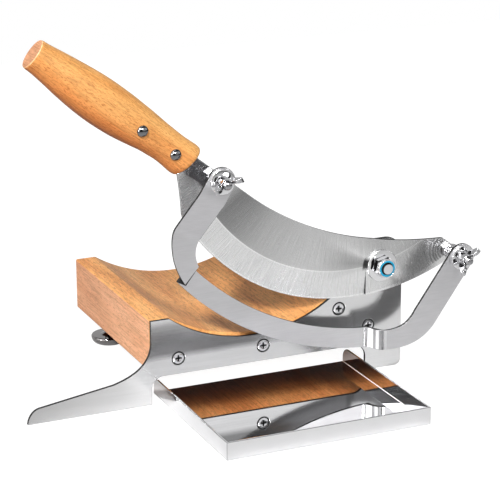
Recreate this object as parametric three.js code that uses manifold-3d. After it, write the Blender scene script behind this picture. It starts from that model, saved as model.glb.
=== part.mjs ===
// A manual deli slicer: a scooped beech block with a stainless front plate, a curved blade that hinges
// on the plate, a thickness gauge on two threaded studs in front of the blade, and a loose catch tray.
// Millimetres, +Z up. X runs along the plate and Y runs back from it: y = 0 is the plate's front face.
import * as THREE from "three";
import { mergeVertices } from "three/addons/utils/BufferGeometryUtils.js";
import Module from "manifold-3d";

const wasm = await Module();
wasm.setup();

// ---- driving dimensions ----
const GAP = 0.3; // left between pieces that touch
const PAST = 1; // how far a cutter runs past the faces it cuts

// Front plate and block. A circle is its centre in X and Z and its radius.
const PLATE_T = 2;
const PLATE_LEFT = -46.5;
const PLATE_RIGHT = 125.5;
const PLATE_CORNER = 4;
const FOOT_TIP = -126; // end of the plate's long left foot
const LAND_Z = 54; // top of the block and of the plate's left corner
const ARCH = { left: -46.3, right: 100, top: 17.5, radius: 8 };
const PLATE_SCOOP = { x: 21.7, z: 128.6, r: 93.2 };
const BLOCK_SCOOP = { x: 22.3, z: 137.6, r: 100.2 };
const LUG = { x: 113.5, z: 75.2, r: 12 };
const BLOCK = { left: -46.4, right: 124.5, front: PLATE_T + 0.2, back: 139, bottom: 20 };
const PLATE_SCREWS = [[-28.6, 27.6], [28.5, 27.3], [80.9, 44.1], [101.9, 30.1]];
const SCREW = { head: 4, shank: 2, depth: 20, tip: 23.5, pilot: 2.3, slot: 0.45, slotDepth: 1.1 };
const REAR_FOOT = { r: 12, h: 5.4, y: 119, stem: 2.9, left: -31, right: 109 };

// Pivot, blade and handle.
const PIVOT = { x: 109, z: 70.2, bolt: 4, bush: 4.08, nut: 7.3, nutFront: -9.8, collar: 6.2, tip: -12.9 };
const BLADE_BACK = -0.8;
const BLADE_FRONT = -3.2;
const EDGE = { x: 88, z: 182.2, r: 130.7 };
const BEVEL = { x: 85.4, z: 181, r: 111 };
const EDGE_T = 0.35; // blade's thickness left at its edge
const EDGE_START = -25.3;
const EDGE_END = 108;
const HEEL_X = 98.2; // end of the ground bevel
const SPINE = { x: 135.1, z: 273.3, r: 187.6, from: 18, to: 103 };
const GRIP = { x: -22.6, z: 152.3, y: -3, angle: 141.9, length: 118.5 }; // front centre of the handle
const GRIP_DEPTH = 0.8; // thickness of the handle over its width
const FRONT_SLANT = 0.22; // how far the domed front leans back per millimetre down
const SLANT_LENGTH = 25; // along the handle, until the slant has faded out
// Half widths of the handle along its length, from its domed front to its flat butt.
// Places along the handle, each with its reach above and below the handle's axis.
const GRIP_WIDTHS = [[0, 10, 10], [0.35, 10.5, 10.5], [1.2, 11.1, 10.8], [3.5, 11.45, 11], [8, 11.3, 10.6],
  [12, 11.2, 10.2], [18, 11.5, 9.9], [24, 11.9, 10.2], [30, 12.4, 10.6], [38, 13.1, 11.8], [45, 13.5, 12.8],
  [52, 13.9, 13.6], [66, 14.1, 14.2], [78, 13.6, 13.8], [92, 12.3, 12.4], [104, 10.9, 10.7], [113, 9.8, 9.7],
  [117.4, 9.5, 9.5], [118.2, 9.1, 9.1]];
const TOP_EDGE = 5.4; // upper line of tang and blade, across the handle's axis
const TANG_FRONT = -6.8;
// Rivets through the handle: along its axis, across it, and the handle's half thickness there.
const HANDLE_RIVETS = [{ t: 12.5, w: -0.7, seat: 9.3 }, { t: 39.4, w: -0.5, seat: 10.9 }];

// Gauge.
const LEFT_EYE = { x: -8.2, z: 142.8 };
const RIGHT_EYE = { x: 156.4, z: 74.8 };
const EYE_R = 8.8;
const EYE_HOLE = 2.75;
const SHEET_T = 2;
const STRIP_FRONT = -12.5; // front face of the gauge strip
const ARM_FRONT = -22.5; // front face of the two eyes
const ARM_BACK = ARM_FRONT + SHEET_T;
const STRIP_LOW = { x: 104.4, z: 207.8, r: 187.4, from: -33.6, to: 108 };
const STRIP_HIGH = { x: 104.9, z: 209.8, r: 176.3, from: -25.2, to: 104 };
const JOGGLE = { start: 94.6, end: 100.3, radius: 5.5 }; // along X, where the strip steps forward
const RIGHT_ARM = { angle: 54.5, low: 42, high: 44 }; // its lean, and its two sides' lengths
const LEFT_ARM = { angle: 59, bends: [-12, -38], radius: 22 }; // its lean, and its bends from the eye
const LAP_FRONT = STRIP_FRONT - SHEET_T - GAP;
const STUD = { r: 2.45, front: -33.2, back: -1.1, hole: 2.8, nut: 4.6, nutBore: 2.6, nutHeight: 3.6 };
const SPRING = { r: 4.9, wire: 0.4, clear: 0.6 };
const WASHER = { inner: 2.8, front: 7.8, frontT: 1.4, rear: 6.6, rearT: 0.9, clear: 0.1 };
const WING = { bore: 2.55, hub: 4.4, hubFront: 3.5, height: 6, t: 2.2 };
// The two studs: where the base nut's front face is, how the wings stand, and the spring's turns.
const SIDES = [
  { side: "left", eye: LEFT_EYE, seat: -6.9, wings: 23, turns: 3 },
  { side: "right", eye: RIGHT_EYE, seat: BLADE_FRONT - WASHER.clear, wings: 51, turns: 5 },
];

const TRAY = { left: -38.6, right: 93.9, front: -98, back: 17.5, height: 11, t: 1.2, rear: 7 };

// ---- materials ----
const steel = (color, roughness) =>
  new THREE.MeshStandardMaterial({ color, roughness, metalness: 1 });
const MATERIALS = {
  wood: new THREE.MeshStandardMaterial({ color: 0xe0a873, roughness: 0.55, metalness: 0 }),
  plate: steel(0xc6c8ca, 0.28),
  blade: steel(0xbcbec0, 0.3),
  satin: steel(0xc2c4c5, 0.38),
  mirror: steel(0xd8dadc, 0.1),
  fastener: steel(0xcfd1d3, 0.18),
  dark: steel(0x6d6f72, 0.25),
  brass: steel(0xc9a65a, 0.3),
  nylon: new THREE.MeshStandardMaterial({ color: 0x2f8fd0, roughness: 0.45, metalness: 0 }),
};

// ---- solids ----
// A closed three.js geometry as a manifold solid, turned face out if it was inside out.
function solid(geometry) {
  const bare = geometry.clone();
  bare.deleteAttribute("normal");
  bare.deleteAttribute("uv");
  const merged = mergeVertices(bare, 1e-4);
  const index = merged.index.array;
  const faces = [];
  for (let i = 0; i < index.length; i += 3) {
    const [a, b, c] = index.slice(i, i + 3);
    if (a !== b && b !== c && a !== c) faces.push([a, b, c]);
  }
  const make = (list) =>
    new wasm.Manifold(
      new wasm.Mesh({
        numProp: 3,
        vertProperties: new Float32Array(merged.attributes.position.array),
        triVerts: new Uint32Array(list.flat()),
      }),
    );
  const made = make(faces);
  return made.volume() > 0 ? made : make(faces.map(([a, b, c]) => [a, c, b]));
}

function geometryOf(made) {
  const mesh = made.getMesh();
  const positions = new Float32Array(mesh.numVert * 3);
  for (let i = 0; i < mesh.numVert; i++) {
    positions.set(mesh.vertProperties.subarray(i * mesh.numProp, i * mesh.numProp + 3), 3 * i);
  }
  const geometry = new THREE.BufferGeometry();
  geometry.setAttribute("position", new THREE.BufferAttribute(positions, 3));
  geometry.setIndex(new THREE.BufferAttribute(new Uint32Array(mesh.triVerts), 1));
  geometry.computeVertexNormals();
  return geometry;
}

// An outline in X and Z, made solid from y0 back to y1.
function prism(shape, y0, y1, curveSegments = 16) {
  const geometry = new THREE.ExtrudeGeometry(shape, { depth: y1 - y0, bevelEnabled: false, curveSegments });
  return solid(geometry.rotateX(Math.PI / 2).translate(0, y1, 0));
}

// An outline in X and Y, made solid from z0 up to z1.
function upright(shape, z0, z1) {
  const geometry = new THREE.ExtrudeGeometry(shape, { depth: z1 - z0, bevelEnabled: false });
  return solid(geometry.translate(0, 0, z0));
}

function box(x0, x1, y0, y1, z0, z1) {
  const geometry = new THREE.BoxGeometry(x1 - x0, y1 - y0, z1 - z0);
  return solid(geometry.translate((x0 + x1) / 2, (y0 + y1) / 2, (z0 + z1) / 2));
}

// A profile of [radius, y] pairs turned about the Y axis.
function turned(profile, segments = 24) {
  return solid(new THREE.LatheGeometry(profile.map(([r, y]) => new THREE.Vector2(r, y)), segments));
}

// A profile of [radius, z] pairs turned about the Z axis.
function upTurned(profile, segments = 24) {
  const points = profile.map(([r, z]) => new THREE.Vector2(r, z));
  return solid(new THREE.LatheGeometry(points, segments).rotateX(Math.PI / 2));
}

const rod = (r, y0, y1, segments) => turned([[0, y0], [r, y0], [r, y1], [0, y1]], segments);
const ring = (inner, outer, y0, y1, segments) =>
  turned([[inner, y0], [outer, y0], [outer, y1], [inner, y1], [inner, y0]], segments);

// A piece with a round hole cut through it along Y, between y0 and y1.
function drilled(made, { x, z }, r, y0, y1, segments = 20) {
  return made.subtract(rod(r, y0, y1, segments).translate([x, 0, z]));
}

const onCircle = (circle, x) => circle.z - Math.sqrt(circle.r ** 2 - (x - circle.x) ** 2);
const angleAt = (circle, x) => Math.atan2(onCircle(circle, x) - circle.z, x - circle.x);
// How far from a circle's centre, along X, it crosses the height of the land.
const reachAtLand = (circle) => Math.sqrt(circle.r ** 2 - (circle.z - LAND_Z) ** 2);

// The lower stretch of a circle between two X values, added to an outline.
function follow(outline, circle, from, to) {
  outline.absarc(circle.x, circle.z, circle.r, angleAt(circle, from), angleAt(circle, to), to < from);
}

// A polyline whose inner corners are rounded to a radius, each with a few points on its arc.
function rounded(line, radius, steps = 4) {
  return line.flatMap(([u, v], i) => {
    if (i === 0 || i === line.length - 1) return [[u, v]];
    const corner = new THREE.Vector2(u, v);
    const into = new THREE.Vector2(...line[i - 1]).sub(corner).normalize();
    const out = new THREE.Vector2(...line[i + 1]).sub(corner).normalize();
    const cut = radius * Math.tan((Math.PI - into.angleTo(out)) / 2);
    const curve = new THREE.QuadraticBezierCurve(
      corner.clone().addScaledVector(into, cut), corner, corner.clone().addScaledVector(out, cut));
    return curve.getPoints(steps).map((p) => [p.x, p.y]);
  });
}

// A sheet bent along a polyline in two coordinates: the outline between the line and its offset.
function bentSheet(line, thickness) {
  const points = line.map(([u, v]) => new THREE.Vector2(u, v));
  const back = points.map((p, i) => {
    const into = p.clone().sub(points[Math.max(i - 1, 0)]);
    const out = points[Math.min(i + 1, points.length - 1)].clone().sub(p);
    if (i === 0) into.copy(out);
    if (i === points.length - 1) out.copy(into);
    into.normalize();
    out.normalize();
    const mitre = new THREE.Vector2(-into.y - out.y, into.x + out.x).normalize();
    return p.clone().addScaledVector(mitre, thickness / (mitre.x * -into.y + mitre.y * into.x));
  });
  return new THREE.Shape([...points, ...back.reverse()]);
}

// ---- the wooden block and the plate ----
function blockSolid() {
  const { left, right, front, back, bottom } = BLOCK;
  const from = BLOCK_SCOOP.x + reachAtLand(BLOCK_SCOOP);
  const to = BLOCK_SCOOP.x - reachAtLand(BLOCK_SCOOP);
  const outline = new THREE.Shape();
  outline.moveTo(left, bottom);
  outline.lineTo(right, bottom);
  outline.lineTo(right, LAND_Z);
  outline.lineTo(from, LAND_Z);
  follow(outline, BLOCK_SCOOP, from, to);
  outline.lineTo(left, LAND_Z);
  outline.closePath();
  let made = prism(outline, front, back, 20);
  for (const [x, z] of PLATE_SCREWS) {
    made = drilled(made, { x, z }, SCREW.pilot, front - PAST, SCREW.tip + PAST, 12);
  }
  for (const x of [REAR_FOOT.left, REAR_FOOT.right]) {
    const bore = upTurned([[0, 18], [4.3, 18], [4.3, 38], [0, 38]], 16);
    made = made.subtract(bore.translate([x, REAR_FOOT.y, 0]));
  }
  return made;
}

function plateOutline() {
  const { left, right, top, radius } = ARCH;
  const lugLeft = 104.2; // where the scoop runs up into the lug
  const outline = new THREE.Shape();
  outline.moveTo(FOOT_TIP, 0);
  outline.lineTo(left, 0);
  outline.lineTo(left, top - radius);
  outline.absarc(left + radius, top - radius, radius, Math.PI, Math.PI / 2, true);
  outline.lineTo(right - radius, top);
  outline.absarc(right - radius, top - radius, radius, Math.PI / 2, 0, true);
  outline.lineTo(right, 0);
  outline.lineTo(PLATE_RIGHT - PLATE_CORNER, 0);
  outline.absarc(PLATE_RIGHT - PLATE_CORNER, PLATE_CORNER, PLATE_CORNER, -Math.PI / 2, 0, false);
  outline.lineTo(PLATE_RIGHT, LUG.z);
  outline.absarc(LUG.x, LUG.z, LUG.r, 0, Math.PI / 2, false);
  outline.lineTo(lugLeft + 2.2, LUG.z + LUG.r);
  outline.quadraticCurveTo(lugLeft + 0.7, LUG.z + LUG.r, lugLeft, onCircle(PLATE_SCOOP, lugLeft));
  follow(outline, PLATE_SCOOP, lugLeft, PLATE_SCOOP.x - reachAtLand(PLATE_SCOOP));
  outline.lineTo(PLATE_LEFT, LAND_Z);
  outline.lineTo(PLATE_LEFT, 38.5);
  outline.bezierCurveTo(-47.5, 26.5, -56.5, 20.5, -71, 16.6);
  outline.lineTo(-118.5, 9.4);
  outline.bezierCurveTo(-122.5, 8.6, -125.6, 4.6, FOOT_TIP, 0);
  return outline;
}

function plateSolid() {
  let made = prism(plateOutline(), 0, PLATE_T, 18);
  const sink = turned([[0, -PAST], [5.5, -PAST], [SCREW.pilot, PLATE_T + 0.2], [0, PLATE_T + 0.2]], 20);
  for (const [x, z] of PLATE_SCREWS) made = made.subtract(sink.translate([x, 0, z]));
  return drilled(made, PIVOT, PIVOT.bolt + 0.1, -PAST, PLATE_T + PAST, 24);
}

// Countersunk wood screw with a cross recess, its head flush with the plate.
function plateScrew() {
  const { head, shank, depth, tip, slot, slotDepth } = SCREW;
  const body = turned([[0, 0.05], [head, 0.05], [shank, PLATE_T], [shank, depth], [0, tip]], 20);
  const half = head / 2;
  const across = box(-half, half, -PAST, slotDepth, -slot, slot);
  const upDown = box(-slot, slot, -PAST, slotDepth, -half, half);
  return body.subtract(across.add(upDown));
}

// A domed glide disc with its threaded stem in one piece, about Z.
function rearFoot() {
  const { r, h, stem } = REAR_FOOT;
  return upTurned([[0, 0], [r - 2.4, 0], [r - 0.6, 1.6], [r, 3.4], [r - 0.4, h - 0.6], [r - 1.6, h],
    [stem + 2.1, h + 0.5], [stem + 0.5, h + 1.4], [stem, h + 2.2], [stem, 36], [0, 36]]);
}

const footInsert = () => upTurned([[3.1, 20.2], [4.1, 20.2], [4.1, 34], [3.1, 34], [3.1, 20.2]], 16);

// ---- pivot ----
const pivotBolt = () =>
  rod(PIVOT.nut, PLATE_T + 0.2, PLATE_T + 5.5, 6).add(rod(PIVOT.bolt, PIVOT.tip, PLATE_T + 3));

// Lock nut: a hexagon with a collar that holds the nylon ring.
function pivotNut() {
  const { bolt, nut, nutFront, collar } = PIVOT;
  const hex = rod(nut, nutFront, -5.3, 6);
  const front = nutFront - 2;
  const cup = turned([[5.3, front], [collar - 0.3, front + 0.3], [collar, nutFront - 0.1],
    [collar, nutFront + 0.3], [bolt, nutFront + 0.3], [bolt, nutFront - 0.4], [5.3, nutFront - 0.4],
    [5.3, front]]);
  return hex.add(cup).subtract(rod(bolt + 0.1, PIVOT.tip, -4));
}

// ---- blade, tang and handle ----
const gripAngle = THREE.MathUtils.degToRad(GRIP.angle);
// A point at distance t along the handle from its front and w across it, towards its upper side.
function gripPoint(t, w) {
  const x = GRIP.x + Math.cos(gripAngle) * t + Math.sin(gripAngle) * w;
  return [x, GRIP.z + Math.sin(gripAngle) * t - Math.cos(gripAngle) * w];
}

function rivetPlace({ t, w }) {
  const [x, z] = gripPoint(t, w);
  return { x, z };
}

function bladeSolid() {
  const nose = EDGE_START - 0.8;
  const outline = new THREE.Shape();
  outline.moveTo(...gripPoint(0.2, -9.4));
  outline.quadraticCurveTo(-26.4, 131, nose, onCircle(EDGE, nose) + 1.5);
  outline.lineTo(EDGE_START, onCircle(EDGE, EDGE_START));
  follow(outline, EDGE, EDGE_START, EDGE_END);
  outline.bezierCurveTo(124, 54.6, 142, 60.2, 158.4, 68.3);
  outline.quadraticCurveTo(165, 71.8, 161.9, 76.1);
  outline.lineTo(154.2, 82.1);
  outline.quadraticCurveTo(153.2, 82.8, 151.5, 82.8);
  outline.bezierCurveTo(136, 83.4, 122, 84.3, SPINE.to, onCircle(SPINE, SPINE.to));
  follow(outline, SPINE, SPINE.to, SPINE.from);
  outline.lineTo(...gripPoint(-4.9, TOP_EDGE));
  outline.quadraticCurveTo(...gripPoint(-4, -2.5), ...gripPoint(0.2, -9.4));
  let made = prism(outline, BLADE_FRONT, BLADE_BACK, 30).subtract(bevelCutter());
  made = drilled(made, PIVOT, 5.6, -5, PAST, 24);
  for (const eye of [LEFT_EYE, RIGHT_EYE]) made = drilled(made, eye, STUD.hole, -5, PAST, 16);
  return made;
}

// What the ground bevel takes away: a cone from its upper line on the front down to the thin edge.
function bevelCutter() {
  const outer = EDGE.r + 2.5;
  const cone = turned([[BEVEL.r, BLADE_FRONT], [outer, BLADE_BACK - EDGE_T], [outer, BLADE_FRONT - 2],
    [BEVEL.r, BLADE_FRONT - 2], [BEVEL.r, BLADE_FRONT]], 120);
  const placed = cone.translate([(EDGE.x + BEVEL.x) / 2, 0, (EDGE.z + BEVEL.z) / 2]);
  return placed.intersect(box(-60, HEEL_X, -8, PAST, 30, 220));
}

// Forged tang: a flat bar on the front of the blade that runs up into the handle.
function tangSolid() {
  const top = TOP_EDGE - 0.3;
  const outline = new THREE.Shape();
  outline.moveTo(...gripPoint(-22, top));
  outline.lineTo(...gripPoint(-1.5, top));
  outline.lineTo(...gripPoint(0.5, 4.6));
  outline.lineTo(...gripPoint(55, 3.6));
  outline.quadraticCurveTo(...gripPoint(58, 0), ...gripPoint(55, -3.6));
  outline.lineTo(...gripPoint(0.5, -4.8));
  outline.lineTo(...gripPoint(-2.5, -6.8));
  outline.lineTo(...gripPoint(-13.5, -6.2));
  outline.quadraticCurveTo(...gripPoint(-17, -6.4), ...gripPoint(-20, -8.2));
  outline.quadraticCurveTo(...gripPoint(-27.5, -2), ...gripPoint(-22, top));
  let made = prism(outline, TANG_FRONT, BLADE_FRONT - WASHER.clear, 10);
  for (const rivet of HANDLE_RIVETS) made = drilled(made, rivetPlace(rivet), 2.2, -9, 0, 12);
  return drilled(made, LEFT_EYE, STUD.hole, -9, 0, 16);
}

// The slot in the handle that the tang and the blade's end sit in.
function tangSlot() {
  const corners = [[-6, -7.8], [-6, 6], [1.4, 5.6], [3, 4.9], [60, 4.1], [60, -4.1], [3, -5.3], [1.4, -6.2]];
  const slot = new THREE.Shape(corners.map(([t, w]) => new THREE.Vector2(...gripPoint(t, w))));
  return prism(slot, TANG_FRONT - GAP, BLADE_FRONT + 0.2);
}

// Oval rings along the grip's axis, closed at both ends, with a slot for the tang.
function handleSolid() {
  const around = 28;
  const positions = [];
  const index = [];
  const rings = [[GRIP_WIDTHS[0][0] - 0.2, 0, 0], ...GRIP_WIDTHS, [GRIP.length, 0, 0]];
  rings.forEach(([t, above, below], j) => {
    const slant = FRONT_SLANT * Math.max(0, 1 - (t - GRIP_WIDTHS[0][0]) / SLANT_LENGTH);
    for (let i = 0; i < around; i++) {
      const a = (2 * Math.PI * i) / around;
      const w = (Math.cos(a) > 0 ? above : below) * Math.cos(a);
      const [x, z] = gripPoint(t - slant * w, w);
      const half = (above + below) / 2;
      positions.push(x, GRIP.y + half * GRIP_DEPTH * Math.sin(a), z);
      if (j > 0) {
        const [p, q] = [(j - 1) * around + i, (j - 1) * around + ((i + 1) % around)];
        index.push(p, q, p + around, q, q + around, p + around);
      }
    }
  });
  const geometry = new THREE.BufferGeometry();
  geometry.setAttribute("position", new THREE.Float32BufferAttribute(positions, 3));
  geometry.setIndex(index);
  let made = solid(geometry).subtract(tangSlot());
  for (const rivet of HANDLE_RIVETS) made = drilled(made, rivetPlace(rivet), 2.3, -20, 15, 16);
  return made;
}

// Domed rivet through handle and tang.
function handleRivet({ seat }) {
  const front = GRIP.y - seat;
  const back = GRIP.y + seat;
  return turned([[0, front - 1.5], [1.6, front - 1.2], [2.8, front - 0.6], [3.5, front], [2, front],
    [2, back], [3.5, back], [2.8, back + 0.6], [1.6, back + 1.2], [0, back + 1.5]], 20);
}

// ---- gauge ----
// A curved strip that steps forward at its right end and runs up into the right arm and its eye.
function gaugeStrip() {
  const lean = THREE.MathUtils.degToRad(RIGHT_ARM.angle);
  const along = new THREE.Vector2(Math.cos(lean), Math.sin(lean));
  const side = new THREE.Vector2(along.y, -along.x); // across the right arm, to its lower side
  const eye = new THREE.Vector2(RIGHT_EYE.x, RIGHT_EYE.z);
  const lowSide = eye.clone().addScaledVector(side, EYE_R);
  const highSide = eye.clone().addScaledVector(side, -EYE_R);
  const lowBend = lowSide.clone().addScaledVector(along, -RIGHT_ARM.low);
  const highBend = highSide.clone().addScaledVector(along, -RIGHT_ARM.high);
  const lowEnd = onCircle(STRIP_LOW, STRIP_LOW.to);
  const highEnd = onCircle(STRIP_HIGH, STRIP_HIGH.to);
  const outline = new THREE.Shape();
  outline.moveTo(STRIP_LOW.from, onCircle(STRIP_LOW, STRIP_LOW.from));
  follow(outline, STRIP_LOW, STRIP_LOW.from, STRIP_LOW.to);
  outline.bezierCurveTo(120, lowEnd, 131.5, 23.5, lowBend.x, lowBend.y);
  outline.lineTo(lowSide.x, lowSide.y);
  outline.absarc(RIGHT_EYE.x, RIGHT_EYE.z, EYE_R, lean - Math.PI / 2, lean + Math.PI / 2, false);
  outline.lineTo(highBend.x, highBend.y);
  outline.bezierCurveTo(119.5, 36.5, 114, highEnd, STRIP_HIGH.to, highEnd);
  follow(outline, STRIP_HIGH, STRIP_HIGH.to, STRIP_HIGH.from);
  outline.closePath();
  const step = [[-70, STRIP_FRONT], [JOGGLE.start, STRIP_FRONT], [JOGGLE.end, ARM_FRONT], [190, ARM_FRONT]];
  const ribbon = upright(bentSheet(rounded(step, JOGGLE.radius), SHEET_T), 0, 120);
  return drilled(prism(outline, -30, 0, 24).intersect(ribbon), RIGHT_EYE, EYE_HOLE, -30, 0);
}

// The left arm hangs from its eye, leans back to the strip between two soft bends, and laps the strip.
function gaugeArm() {
  const lean = THREE.MathUtils.degToRad(LEFT_ARM.angle);
  const along = new THREE.Vector2(Math.cos(lean), Math.sin(lean));
  const across = new THREE.Vector2(-along.y, along.x);
  const at = (s, w) => [LEFT_EYE.x + along.x * s + across.x * w, LEFT_EYE.z + along.y * s + across.y * w];
  const [upperBend, lowerBend] = LEFT_ARM.bends;
  const outline = new THREE.Shape();
  outline.moveTo(...at(0, EYE_R));
  outline.lineTo(...at(lowerBend, EYE_R));
  outline.bezierCurveTo(-37.4, 110.8, -37.4, 104.5, -36.9, 100.6);
  outline.bezierCurveTo(-36.4, 92.6, -33.2, 85, -28.4, 78.2);
  outline.lineTo(-20.1, 88.9);
  outline.bezierCurveTo(-21.4, 92.2, -22.4, 95, -22.3, 97.9);
  outline.bezierCurveTo(-22.2, 101.2, -21.4, 103.6, ...at(lowerBend, -EYE_R));
  outline.lineTo(...at(0, -EYE_R));
  outline.absarc(LEFT_EYE.x, LEFT_EYE.z, EYE_R, lean - Math.PI / 2, lean + Math.PI / 2, false);
  const profile = [[-110, LAP_FRONT], [lowerBend, LAP_FRONT], [upperBend, ARM_FRONT], [30, ARM_FRONT]];
  const bent = bentSheet(rounded(profile, LEFT_ARM.radius), SHEET_T);
  const ribbon = new THREE.ExtrudeGeometry(bent, { depth: 160, bevelEnabled: false });
  ribbon.translate(0, 0, -80).rotateY(-lean).translate(LEFT_EYE.x, 0, LEFT_EYE.z);
  return drilled(prism(outline, -30, 0, 12).intersect(solid(ribbon)), LEFT_EYE, EYE_HOLE, -30, 0);
}

// M5 stud, riveted over in the blade.
function stud() {
  const { r, front, back } = STUD;
  return turned([[0, front], [r - 0.6, front], [r, front + 0.6], [r, back], [0, back]], 16);
}

const hexNut = (front) => {
  const back = front + STUD.nutHeight;
  return rod(STUD.nut, front, back, 6).subtract(rod(STUD.nutBore, front - PAST, back + PAST, 20));
};

// Two wings that flare forward from a tapered hub.
function wingNut() {
  const base = ARM_FRONT - WASHER.frontT - WASHER.clear - 0.2;
  const front = base - WING.height;
  const hub = turned([[WING.bore, base], [WING.hub, base], [WING.hubFront, front],
    [WING.bore, front], [WING.bore, base]]);
  const wing = new THREE.Shape();
  wing.moveTo(3, base - 0.4);
  wing.bezierCurveTo(5.2, base - 1, 6.6, base - 3, 7.6, base - 5.4);
  wing.bezierCurveTo(8.6, base - 7.6, 9.6, base - 8.2, 9.5, base - 9.3);
  wing.bezierCurveTo(9.2, base - 10.6, 6.8, base - 10.4, 5.4, base - 9.2);
  wing.bezierCurveTo(4.4, base - 8.2, 3.8, base - 7, 3, base - 5.8);
  wing.closePath();
  const flat = new THREE.ExtrudeGeometry(wing, { depth: WING.t, bevelEnabled: false, curveSegments: 5 });
  const right = flat.translate(0, 0, -WING.t / 2);
  return hub.add(solid(right)).add(solid(right.clone().rotateY(Math.PI)));
}

// Compression spring about Y: a closed wire with flat-cut ends.
function spring(y0, y1, turns) {
  class Helix extends THREE.Curve {
    getPoint(t, target = new THREE.Vector3()) {
      const a = 2 * Math.PI * turns * t;
      return target.set(SPRING.r * Math.cos(a), y0 + (y1 - y0) * t, SPRING.r * Math.sin(a));
    }
  }
  const section = new THREE.Shape();
  section.absarc(0, 0, SPRING.wire, 0, 2 * Math.PI, false);
  const options = { steps: 12 * turns, curveSegments: 3, extrudePath: new Helix() };
  return solid(new THREE.ExtrudeGeometry(section, options));
}

// ---- catch tray: folded sheet, open at the back ----
function traySolid() {
  const { left, right, front, back, height, t, rear } = TRAY;
  const side = new THREE.Shape();
  side.moveTo(front, 0);
  side.lineTo(back, 0);
  side.lineTo(back, height - rear);
  side.absarc(back - rear, height - rear, rear, 0, Math.PI / 2, false);
  side.lineTo(front, height);
  side.closePath();
  // The outline is drawn in Y and Z and given the sheet's thickness along X.
  const turn = new THREE.Matrix4().set(0, 0, 1, 0, 1, 0, 0, 0, 0, 1, 0, 0, 0, 0, 0, 1);
  const flat = new THREE.ExtrudeGeometry(side, { depth: t, bevelEnabled: false, curveSegments: 8 });
  const wall = solid(flat.applyMatrix4(turn));
  const floor = box(left, right, front, back, 0, t);
  const lip = box(left, right, front, front + t, 0, height);
  return floor.add(lip).add(wall.translate([left, 0, 0])).add(wall.translate([right - t, 0, 0]));
}

// ---- assembly: one group for each piece or set of pieces that moves as one ----
const root = new THREE.Group();
function group(parent, x = 0, y = 0, z = 0) {
  const made = new THREE.Group();
  made.position.set(x, y, z);
  parent.add(made);
  return made;
}

function add(parent, name, made, material, { x = 0, y = 0, z = 0 } = {}) {
  const mesh = new THREE.Mesh(geometryOf(made), MATERIALS[material]);
  mesh.name = name;
  mesh.position.set(x, y, z);
  parent.add(mesh);
  return mesh;
}

const base = group(root);
add(base, "base_block", blockSolid(), "wood");
add(base, "front_plate", plateSolid(), "plate");
PLATE_SCREWS.forEach(([x, z], i) => add(base, `plate_screw_${i + 1}`, plateScrew(), "fastener", { x, z }));
for (const side of ["left", "right"]) {
  const foot = group(base, REAR_FOOT[side], REAR_FOOT.y);
  add(foot, `rear_foot_${side}`, rearFoot(), "mirror");
  add(foot, `foot_insert_${side}`, footInsert(), "brass");
}
const pivot = group(base, PIVOT.x, 0, PIVOT.z);
add(pivot, "pivot_bolt", pivotBolt(), "fastener");
add(pivot, "pivot_washer_rear", ring(4.2, 9, -0.65, -0.1), "fastener");
add(pivot, "pivot_washer_front", ring(4.2, 10.4, -5.1, BLADE_FRONT - 0.2, 32), "fastener");
add(pivot, "pivot_nut", pivotNut(), "fastener");
add(pivot, "nylon_ring", ring(4.1, 5.2, -11.7, -10.3), "nylon");

const blade = group(root);
add(blade, "blade", bladeSolid(), "blade");
add(blade, "pivot_bush", ring(PIVOT.bush, 5.5, BLADE_FRONT, BLADE_BACK), "brass", PIVOT);
add(blade, "blade_tang", tangSolid(), "dark");
add(blade, "handle", handleSolid(), "wood");
HANDLE_RIVETS.forEach((rivet, i) =>
  add(blade, `handle_rivet_${i + 1}`, handleRivet(rivet), "fastener", rivetPlace(rivet)));

const gauge = group(root);
add(gauge, "gauge_strip", gaugeStrip(), "satin");
add(gauge, "gauge_left_arm", gaugeArm(), "satin");
for (const { side, eye, seat, wings, turns } of SIDES) {
  const nutFront = seat - STUD.nutHeight;
  const washerFront = ARM_BACK + WASHER.clear;
  add(blade, `gauge_stud_${side}`, stud(), "fastener", eye);
  add(blade, `stud_nut_${side}`, hexNut(nutFront), "fastener", eye);
  const springFront = washerFront + WASHER.rearT + SPRING.clear + 0.2;
  add(blade, `gauge_spring_${side}`, spring(springFront, nutFront - SPRING.clear, turns), "fastener", eye);
  const rear = ring(WASHER.inner, WASHER.rear, washerFront, washerFront + WASHER.rearT);
  add(gauge, `spring_washer_${side}`, rear, "fastener", eye);
  const seatFront = ARM_FRONT - WASHER.clear;
  const front = ring(WASHER.inner, WASHER.front, seatFront - WASHER.frontT, seatFront);
  add(gauge, `wing_washer_${side}`, front, "mirror", eye);
  const nut = add(group(gauge), `wing_nut_${side}`, wingNut(), "fastener", eye);
  nut.rotation.y = -THREE.MathUtils.degToRad(wings);
}

add(group(root), "catch_tray", traySolid(), "mirror");

// The origin is the middle of the bottom of the whole part's box.
const bounds = new THREE.Box3().setFromObject(root, true);
root.position.set(-(bounds.min.x + bounds.max.x) / 2, -(bounds.min.y + bounds.max.y) / 2, -bounds.min.z);
root.updateMatrixWorld(true);

export default root;
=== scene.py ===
"""Looks for the manual deli slicer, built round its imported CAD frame. Metres, in the frame's own axes."""

import math

import bmesh
import bpy
from mathutils import Matrix, Vector


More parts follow.
